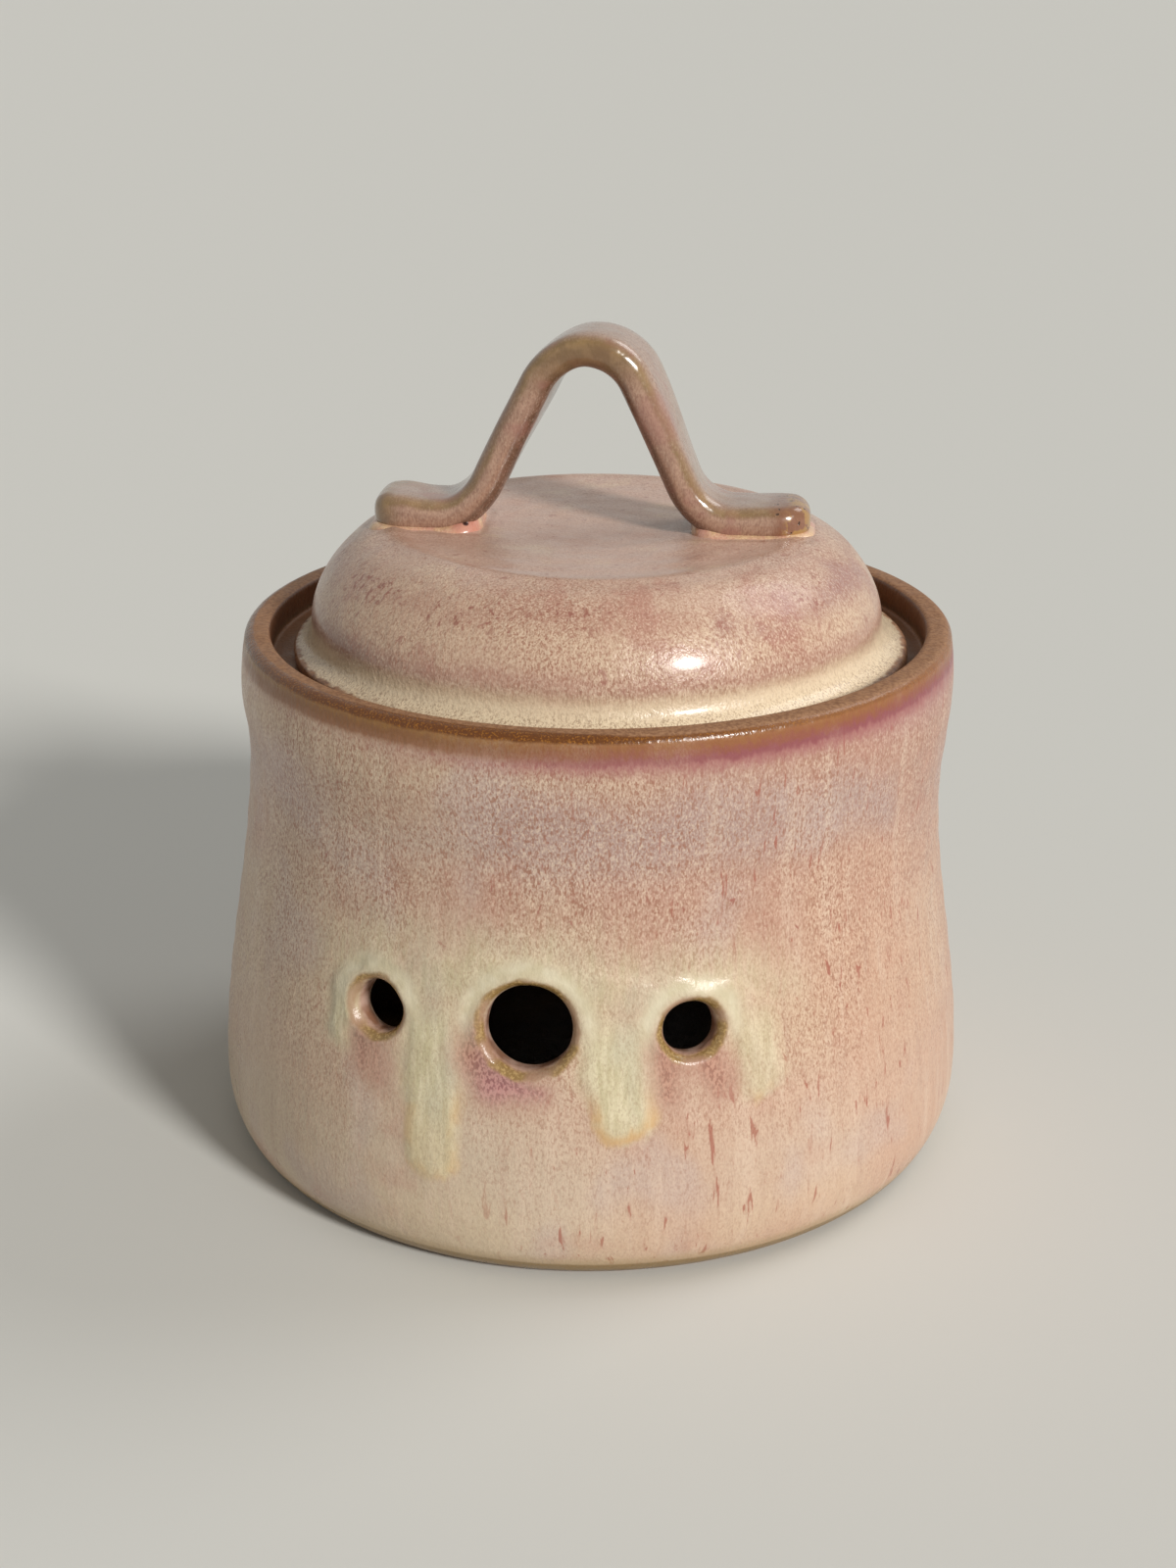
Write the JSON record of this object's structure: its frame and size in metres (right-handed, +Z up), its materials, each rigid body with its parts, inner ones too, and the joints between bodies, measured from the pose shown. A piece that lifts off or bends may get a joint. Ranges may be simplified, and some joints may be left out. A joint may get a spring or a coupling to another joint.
{
  "type": "garlic keeper",
  "caption": "Round stoneware garlic keeper: a squat jar with vent holes in its wall and a domed lid with an arched strap handle, resting inside the rim.",
  "frame": {"origin": "centre of the jar's foot, in the plane that it stands on", "axes": "+Z up along the jar's axis of turning; -Y is the front, towards the middle vent hole of the front row; +X is to the right as seen from the front"},
  "size_m": [0.1348, 0.1348, 0.145],
  "materials": {
    "jar_glaze": "semi-gloss speckled pink-beige glaze over stoneware",
    "lid_glaze": "semi-gloss speckled pink-tan glaze, brown unglazed flange edge",
    "handle_glaze": "glossy pinkish brown glaze, ochre at the edges"
  },
  "bodies": {
    "jar": {"jar": "jar_glaze"},
    "lid": {"lid": "lid_glaze", "handle": "handle_glaze"}
  },
  "joints": [
    {"name": "lid_lift", "type": "slide", "parent": "jar", "child": "lid", "axis": [0, 0, 1], "range_m": [0, 0.12]}
  ]
}
